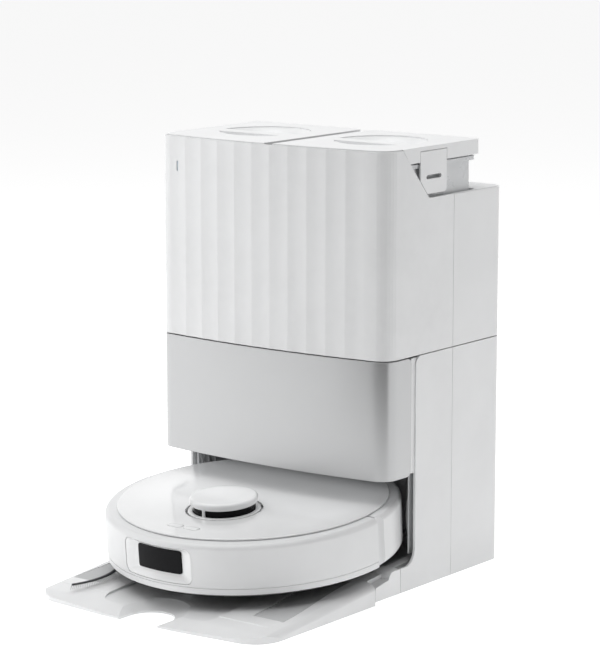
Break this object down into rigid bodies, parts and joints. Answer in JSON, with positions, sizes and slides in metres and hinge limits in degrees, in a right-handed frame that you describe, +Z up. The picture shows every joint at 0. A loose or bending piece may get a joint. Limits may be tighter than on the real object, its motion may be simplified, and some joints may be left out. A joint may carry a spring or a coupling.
{
  "type": "robot vacuum",
  "caption": "Round robot vacuum with spinning mops parked on the ramp of its tall washing and emptying dock with two lift-out water tanks.",
  "frame": {"origin": "on the floor, at the middle of the footprint's bounding box", "axes": "+Z up, +Y towards the dock's back, -Y is the front that the robot drives out of, +X the dock's right as seen from the front's camera side"},
  "size_m": [0.3512, 0.4804, 0.523],
  "materials": {
    "dock_white": "fine satin moulding grain",
    "inner_grey": "light grey moulded plastic",
    "tray_grey": "satin light grey plastic",
    "bay_dark": "dark grey satin plastic",
    "cover_silver": "smooth silver-grey satin paint",
    "lid_white": "satin white with a glossy recess",
    "tank_smoke": "translucent smoke-grey plastic",
    "robot_gloss": "glossy white plastic",
    "robot_satin": "satin white plastic",
    "black_gloss": "glossy black infra-red window",
    "dark_plastic": "dark grey engineering plastic",
    "rubber_grey": "soft grey rubber",
    "tyre_rubber": "black tyre rubber",
    "steel": "zinc-plated steel",
    "contact_gold": "gold-flashed contact",
    "board_green": "solder-masked circuit board",
    "battery_blue": "shrink-wrapped battery pack",
    "bag_paper": "non-woven dust bag with a card collar",
    "mop_cloth": "microfibre pile",
    "light_pipe": "milky light guide"
  },
  "bodies": {
    "dock": {"dock_base": "tray_grey", "ramp_tray": "tray_grey", "wheel_tracks": "rubber_grey", "wash_tray": "inner_grey", "lower_shell": "dock_white", "rear_cover_lower": "dock_white", "rear_cover_upper": "dock_white", "bay_liner": "inner_grey", "bay_vents": "rubber_grey", "dust_box": "inner_grey", "dust_duct": "bay_dark", "suction_motor": "steel", "water_pumps": "dark_plastic", "dock_contacts": "contact_gold", "front_housing": "dock_white", "tank_bay": "inner_grey", "status_light": "light_pipe", "power_inlet": "dark_plastic", "dock_feet": "rubber_grey", "dock_screws": "steel"},
    "dust_cover": {"dust_cover": "cover_silver"},
    "dust_bag": {"dust_bag": "bag_paper"},
    "clean_tank": {"clean_tank": "tank_smoke"},
    "clean_lid": {"clean_lid": "lid_white"},
    "clean_latch": {"clean_latch": "lid_white"},
    "dirty_tank": {"dirty_tank": "tank_smoke"},
    "dirty_lid": {"dirty_lid": "lid_white"},
    "dirty_latch": {"dirty_latch": "lid_white"},
    "robot": {"robot_chassis": "dark_plastic", "robot_shell": "robot_satin", "turret_cap": "robot_gloss", "turret_window": "black_gloss", "suction_fan": "dark_plastic", "battery": "battery_blue", "robot_board": "board_green", "wheel_gearboxes": "dark_plastic", "brush_guard": "dark_plastic", "mop_drives": "dark_plastic", "charge_pads": "contact_gold", "cliff_sensors": "black_gloss"},
    "bumper": {"bumper": "robot_satin", "sensor_bezel": "robot_satin", "sensor_window": "black_gloss"},
    "top_cover": {"top_cover": "robot_gloss"},
    "dustbin": {"dustbin": "dark_plastic"},
    "lidar_head": {"lidar_head": "dark_plastic"},
    "power_button": {"power_button": "robot_gloss"},
    "home_button": {"home_button": "robot_gloss"},
    "left_wheel": {"left_hub": "dark_plastic", "left_tyre": "tyre_rubber"},
    "right_wheel": {"right_hub": "dark_plastic", "right_tyre": "tyre_rubber"},
    "caster_fork": {"caster_fork": "dark_plastic"},
    "caster_wheel": {"caster_wheel": "inner_grey"},
    "main_brush": {"main_brush": "rubber_grey"},
    "side_brush": {"side_brush": "rubber_grey"},
    "left_mop": {"left_mop_plate": "inner_grey", "left_mop_pad": "mop_cloth"},
    "right_mop": {"right_mop_plate": "inner_grey", "right_mop_pad": "mop_cloth"}
  },
  "joints": [
    {"name": "robot_drive_out", "type": "slide", "parent": "dock", "child": "robot", "axis": [0, -0.9966, -0.0819], "range_m": [0, 0.3]},
    {"name": "bumper_press", "type": "slide", "parent": "robot", "child": "bumper", "axis": [0, 0.9966, 0.0819], "range_m": [0, 0.0022], "stiffness_N_per_m": 900, "springref_m": -0.0012},
    {"name": "top_cover_lift", "type": "slide", "parent": "robot", "child": "top_cover", "axis": [0, -0.0819, 0.9966], "range_m": [0, 0.017]},
    {"name": "dustbin_lift", "type": "slide", "parent": "robot", "child": "dustbin", "axis": [0, -0.0819, 0.9966], "range_m": [0, 0.0137]},
    {"name": "lidar_spin", "type": "hinge", "parent": "robot", "child": "lidar_head", "pos_m": [0, -0.08494, 0.10506], "axis": [0, -0.0819, 0.9966], "continuous": true},
    {"name": "power_button_press", "type": "slide", "parent": "robot", "child": "power_button", "axis": [0, 0.0819, -0.9966], "range_m": [0, 0.0012], "stiffness_N_per_m": 500, "springref_m": -0.0006},
    {"name": "home_button_press", "type": "slide", "parent": "robot", "child": "home_button", "axis": [0, 0.0819, -0.9966], "range_m": [0, 0.0012], "stiffness_N_per_m": 500, "springref_m": -0.0006},
    {"name": "left_wheel_spin", "type": "hinge", "parent": "robot", "child": "left_wheel", "pos_m": [-0.124, -0.03275, 0.06219], "axis": [1, 0, 0], "continuous": true},
    {"name": "right_wheel_spin", "type": "hinge", "parent": "robot", "child": "right_wheel", "pos_m": [0.124, -0.03275, 0.06219], "axis": [1, 0, 0], "continuous": true},
    {"name": "caster_swivel", "type": "hinge", "parent": "robot", "child": "caster_fork", "pos_m": [0, -0.15426, 0.0512], "axis": [0, -0.0819, 0.9966], "continuous": true},
    {"name": "caster_roll", "type": "hinge", "parent": "caster_fork", "child": "caster_wheel", "pos_m": [0, -0.14664, 0.03176], "axis": [1, 0, 0], "continuous": true},
    {"name": "main_brush_spin", "type": "hinge", "parent": "robot", "child": "main_brush", "pos_m": [0, -0.04584, 0.05058], "axis": [1, 0, 0], "continuous": true},
    {"name": "side_brush_spin", "type": "hinge", "parent": "robot", "child": "side_brush", "pos_m": [-0.106, -0.13809, 0.02543], "axis": [0, -0.0819, 0.9966], "continuous": true},
    {"name": "left_mop_spin", "type": "hinge", "parent": "robot", "child": "left_mop", "pos_m": [-0.066, 0.06315, 0.04298], "axis": [0, -0.0819, 0.9966], "continuous": true},
    {"name": "right_mop_spin", "type": "hinge", "parent": "robot", "child": "right_mop", "pos_m": [0.066, 0.06315, 0.04298], "axis": [0, -0.0819, 0.9966], "continuous": true},
    {"name": "dust_cover_pull", "type": "slide", "parent": "dock", "child": "dust_cover", "axis": [0, -1, 0], "range_m": [0, 0.3]},
    {"name": "dust_bag_slide", "type": "slide", "parent": "dock", "child": "dust_bag", "axis": [0, -1, 0], "range_m": [0, 0.12]},
    {"name": "clean_tank_lift", "type": "slide", "parent": "dock", "child": "clean_tank", "axis": [0, 0, 1], "range_m": [0, 0.2]},
    {"name": "clean_lid_open", "type": "hinge", "parent": "clean_tank", "child": "clean_lid", "pos_m": [0.088, 0.188, 0.502], "axis": [-1, 0, 0], "range_deg": [0, 75]},
    {"name": "clean_latch_open", "type": "hinge", "parent": "clean_lid", "child": "clean_latch", "pos_m": [0.1678, 0.0928, 0.516], "axis": [0, -1, 0], "range_deg": [0, 35]},
    {"name": "dirty_tank_lift", "type": "slide", "parent": "dock", "child": "dirty_tank", "axis": [0, 0, 1], "range_m": [0, 0.2]},
    {"name": "dirty_lid_open", "type": "hinge", "parent": "dirty_tank", "child": "dirty_lid", "pos_m": [-0.084, 0.188, 0.502], "axis": [-1, 0, 0], "range_deg": [0, 75]},
    {"name": "dirty_latch_open", "type": "hinge", "parent": "dirty_lid", "child": "dirty_latch", "pos_m": [-0.1678, 0.0928, 0.516], "axis": [0, 1, 0], "range_deg": [0, 35]}
  ],
  "couplings": [
    {"joint": "dustbin_lift", "follows": "top_cover_lift", "ratio": 0.8},
    {"joint": "right_mop_spin", "follows": "left_mop_spin", "ratio": -1},
    {"joint": "dust_bag_slide", "follows": "dust_cover_pull", "ratio": 0.4}
  ]
}
